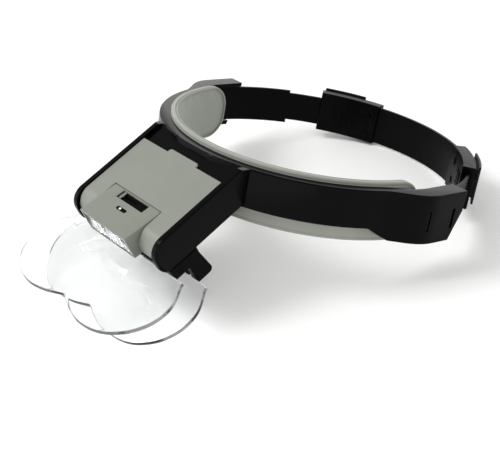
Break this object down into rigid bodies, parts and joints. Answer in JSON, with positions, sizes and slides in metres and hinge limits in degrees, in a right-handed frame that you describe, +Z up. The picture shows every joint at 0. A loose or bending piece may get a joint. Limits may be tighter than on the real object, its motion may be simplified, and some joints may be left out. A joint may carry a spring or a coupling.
{
  "type": "head visor magnifier",
  "caption": "Head-worn magnifier: padded headband with adjustable rear strap, tilting lamp housing and two slide-in clear double lens plates on a flip-down carrier.",
  "frame": {"origin": "bottom centre of the whole object's box, as it stands on a table on its rear lens plate and rear strap", "axes": "+Y towards the back of the head, +X the wearer's left, +Z up; the headband's axis leans back from +Z"},
  "size_m": [0.213, 0.2856, 0.0785],
  "materials": {
    "black_gloss": "gloss moulded ABS",
    "black_satin": "satin moulded nylon",
    "black_lever": "fine textured",
    "grey_shell": "satin painted look, moulded ABS",
    "pad_foam": "soft closed-cell foam with a smooth skin",
    "stud_plastic": "moulded",
    "clear_acrylic": "polished clear acrylic",
    "chrome_cup": "vacuum plated",
    "led_epoxy": "clear epoxy dome",
    "steel": "drawn steel",
    "spring_steel": "nickel plated",
    "cell_wrap": "printed film sleeve",
    "board": "solder mask",
    "white_dot": "moulded"
  },
  "bodies": {
    "headband": {"front_band": "black_gloss", "forehead_pad": "pad_foam", "pad_studs": "stud_plastic", "visor_housing": "black_gloss", "housing_screws": "steel", "lamp_pin": "steel", "battery_cell_rear": "cell_wrap", "battery_cell_front": "cell_wrap", "contact_springs": "spring_steel", "contact_plates": "spring_steel", "tail_left": "black_satin", "tail_right": "black_satin"},
    "cover": {"battery_cover": "grey_shell"},
    "lamp": {"lamp_shell": "grey_shell", "lamp_base": "black_satin", "led_reflector": "chrome_cup", "led_left": "led_epoxy", "led_right": "led_epoxy", "lamp_window": "clear_acrylic", "circuit_board": "board", "switch_bezel": "black_lever", "indicator_inlay": "black_lever", "indicator_dot": "white_dot"},
    "switch": {"switch_slider": "grey_shell"},
    "lens_carrier": {"lens_carrier": "black_satin", "carrier_pin_left": "steel", "carrier_pin_right": "steel"},
    "lens_front": {"lens_plate_front": "clear_acrylic"},
    "lens_rear": {"lens_plate_rear": "clear_acrylic"},
    "rear_strap": {"buckle_left": "black_satin", "buckle_right": "black_satin", "rear_strap": "black_satin", "strap_rivets": "black_satin", "lever_pins": "steel"},
    "lever_left": {"release_lever_left": "black_lever"},
    "lever_right": {"release_lever_right": "black_lever"}
  },
  "joints": [
    {"name": "cover_lift", "type": "slide", "parent": "headband", "child": "cover", "axis": [0, -0.3446, 0.9388], "range_m": [0, 0.03]},
    {"name": "lamp_tilt", "type": "hinge", "parent": "headband", "child": "lamp", "pos_m": [0, -0.08158, 0.05605], "axis": [-1, 0, 0], "range_deg": [0, 30]},
    {"name": "switch_slide", "type": "slide", "parent": "lamp", "child": "switch", "axis": [1, 0, 0], "range_m": [0, 0.012]},
    {"name": "lens_flip", "type": "hinge", "parent": "headband", "child": "lens_carrier", "pos_m": [0, -0.07168, 0.03198], "axis": [1, 0, 0], "range_deg": [0, 50]},
    {"name": "lens_front_pull", "type": "slide", "parent": "lens_carrier", "child": "lens_front", "axis": [0, -0.9765, -0.2157], "range_m": [0, 0.03]},
    {"name": "lens_rear_pull", "type": "slide", "parent": "lens_carrier", "child": "lens_rear", "axis": [0, -0.9326, -0.3609], "range_m": [0, 0.03]},
    {"name": "strap_shift", "type": "hinge", "parent": "headband", "child": "rear_strap", "pos_m": [0, 0.0464, 0.03787], "axis": [0, 0.273, 0.962], "range_deg": [0, 12]},
    {"name": "lever_left_press", "type": "hinge", "parent": "rear_strap", "child": "lever_left", "pos_m": [0.07208, 0.11336, 0.01886], "axis": [0, 0.273, 0.962], "range_deg": [0, 4], "stiffness_Nm_per_rad": 0.06, "springref_deg": -2.86},
    {"name": "lever_right_press", "type": "hinge", "parent": "rear_strap", "child": "lever_right", "pos_m": [-0.05574, 0.1265, 0.01513], "axis": [0, -0.273, -0.962], "range_deg": [0, 4], "stiffness_Nm_per_rad": 0.06, "springref_deg": -2.86}
  ]
}
